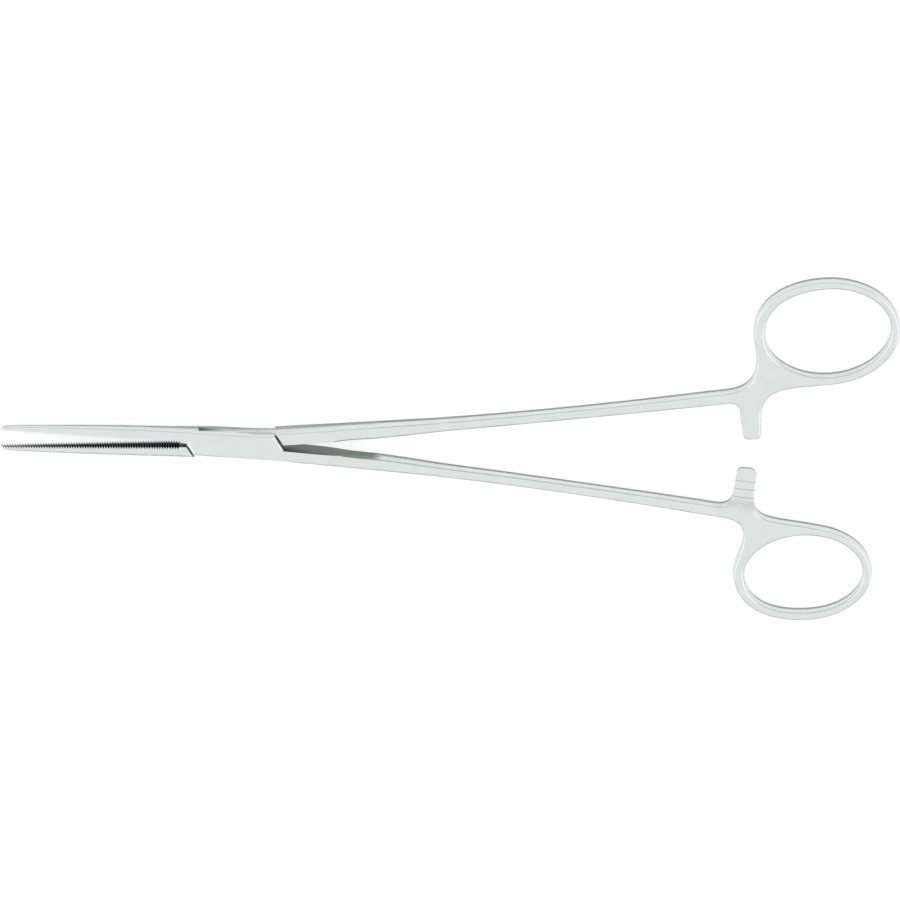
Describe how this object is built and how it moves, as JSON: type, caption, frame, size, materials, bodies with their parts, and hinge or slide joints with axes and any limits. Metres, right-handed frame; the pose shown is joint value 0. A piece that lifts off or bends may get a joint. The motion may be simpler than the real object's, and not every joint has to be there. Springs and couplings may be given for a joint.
{
  "type": "mosquito forceps",
  "caption": "Long slender straight locking forceps with fine cross-serrated jaws, a box lock, thin shanks, interlocking ratchet bars and oval finger rings.",
  "frame": {"origin": "on the hinge axis of the box lock, at the back face of the lock", "axes": "+X from the lock towards the finger rings, along the middle between the two halves; +Y in the plane of the instrument, towards the ring of the tenon half; +Z along the hinge axis, out of the front face"},
  "size_m": [0.2091, 0.0884, 0.005],
  "materials": {
    "steel": "satin",
    "pin": "satin"
  },
  "bodies": {
    "box_half_body": {"box_half": "steel", "box_pin": "pin"},
    "tenon_half_body": {"tenon_half": "steel"}
  },
  "joints": [
    {"name": "box_lock_hinge", "type": "hinge", "parent": "box_half_body", "child": "tenon_half_body", "pos_m": [0, 0, 0.0025], "axis": [0, 0, 1], "range_deg": [-3.9, 45]}
  ]
}
